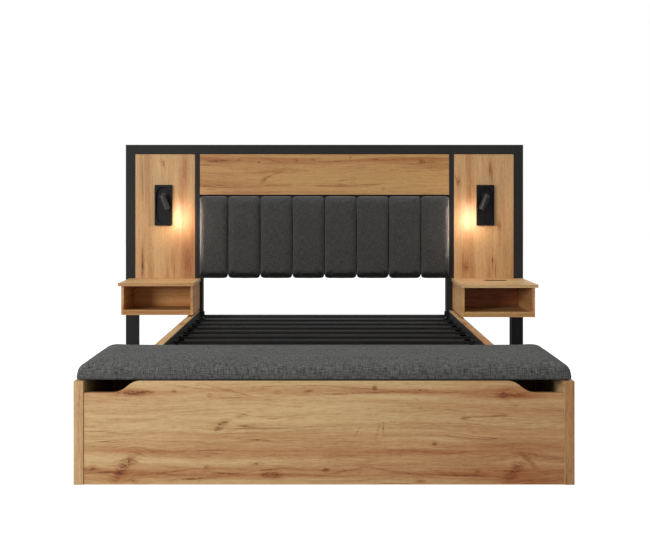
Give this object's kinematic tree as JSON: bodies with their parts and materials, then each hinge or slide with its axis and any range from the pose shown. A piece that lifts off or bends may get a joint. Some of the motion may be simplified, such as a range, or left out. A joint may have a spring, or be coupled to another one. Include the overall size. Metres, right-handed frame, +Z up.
{
  "type": "bed with blanket chest footboard",
  "caption": "Double bed with panelled and channel-padded headboard, swivel reading lamps, hanging open nightstands, slatted base and a padded-lid blanket chest as footboard.",
  "frame": {"origin": "on the floor, under the middle of the whole bed", "axes": "+X across the bed to the right seen from the foot, +Y from the foot to the head, +Z up"},
  "size_m": [2.605, 2.556, 1.386],
  "materials": {
    "oak_decor": "satin oak decor",
    "black_board": "matte anthracite laminate",
    "black_slat": "matte black lacquer",
    "core_board": "raw board",
    "grey_fabric": "woven melange",
    "black_steel": "powder coat",
    "lamp_black": "matte black coat",
    "zinc_steel": "zinc plated",
    "black_plastic": "fine grained",
    "lamp_lens": "frosted light window"
  },
  "bodies": {
    "bed": {"post_outer_left": "black_board", "post_outer_right": "black_board", "post_inner_left": "black_board", "post_inner_right": "black_board", "top_rail": "black_board", "pad_cross_rails": "black_board", "lower_rail": "black_board", "bay_rails": "black_board", "pad_backing_board": "black_board", "centre_panel": "oak_decor", "side_panel_left": "oak_decor", "side_panel_right": "oak_decor", "channel_pad_1": "grey_fabric", "channel_pad_2": "grey_fabric", "channel_pad_3": "grey_fabric", "channel_pad_4": "grey_fabric", "channel_pad_5": "grey_fabric", "channel_pad_6": "grey_fabric", "channel_pad_7": "grey_fabric", "channel_pad_8": "grey_fabric", "floor_glides": "black_plastic", "lamp_base_left": "lamp_black", "lamp_base_right": "lamp_black", "nightstand_top_left": "oak_decor", "nightstand_sides_left": "oak_decor", "nightstand_floor_left": "oak_decor", "nightstand_back_left": "oak_decor", "nightstand_top_right": "oak_decor", "nightstand_sides_right": "oak_decor", "nightstand_floor_right": "oak_decor", "nightstand_back_right": "oak_decor", "charging_insert": "black_plastic", "side_rail_left": "oak_decor", "side_rail_right": "oak_decor", "slat_ledges": "black_steel", "centre_beam": "black_steel", "centre_legs": "black_steel", "slats": "black_slat", "slat_end_caps": "black_plastic", "rail_brackets": "black_steel", "rail_bolts": "zinc_steel", "chest_side_left": "oak_decor", "chest_side_right": "oak_decor", "chest_front": "oak_decor", "chest_back": "oak_decor", "chest_floor": "oak_decor", "hinge_chest_leaves": "black_steel", "hinge_pins": "zinc_steel", "lid_bumpers": "black_plastic"},
    "lid": {"lid_board": "core_board", "lid_cushion": "grey_fabric", "hinge_lid_leaves": "black_steel"},
    "lamp_foot_left": {"lamp_swivel_left": "lamp_black", "lamp_tilt_pin_left": "zinc_steel"},
    "lamp_spot_left": {"lamp_head_left": "lamp_black", "lamp_lens_left": "lamp_lens"},
    "lamp_foot_right": {"lamp_swivel_right": "lamp_black", "lamp_tilt_pin_right": "zinc_steel"},
    "lamp_spot_right": {"lamp_head_right": "lamp_black", "lamp_lens_right": "lamp_lens"}
  },
  "joints": [
    {"name": "lid_hinge", "type": "hinge", "parent": "bed", "child": "lid", "pos_m": [0, -0.8264, 0.3805], "axis": [-1, 0, 0], "range_deg": [0, 85]},
    {"name": "lamp_turn_left", "type": "hinge", "parent": "bed", "child": "lamp_foot_left", "pos_m": [-1.053, 1.176, 1.05], "axis": [0, -1, 0], "range_deg": [-150, 150]},
    {"name": "lamp_tilt_left", "type": "hinge", "parent": "lamp_foot_left", "child": "lamp_spot_left", "pos_m": [-1.053, 1.176, 1.05], "axis": [-0.9397, 0, -0.342], "range_deg": [0, 70]},
    {"name": "lamp_turn_right", "type": "hinge", "parent": "bed", "child": "lamp_foot_right", "pos_m": [1.053, 1.176, 1.05], "axis": [0, -1, 0], "range_deg": [-150, 150]},
    {"name": "lamp_tilt_right", "type": "hinge", "parent": "lamp_foot_right", "child": "lamp_spot_right", "pos_m": [1.053, 1.176, 1.05], "axis": [-0.9397, 0, 0.342], "range_deg": [0, 70]}
  ]
}
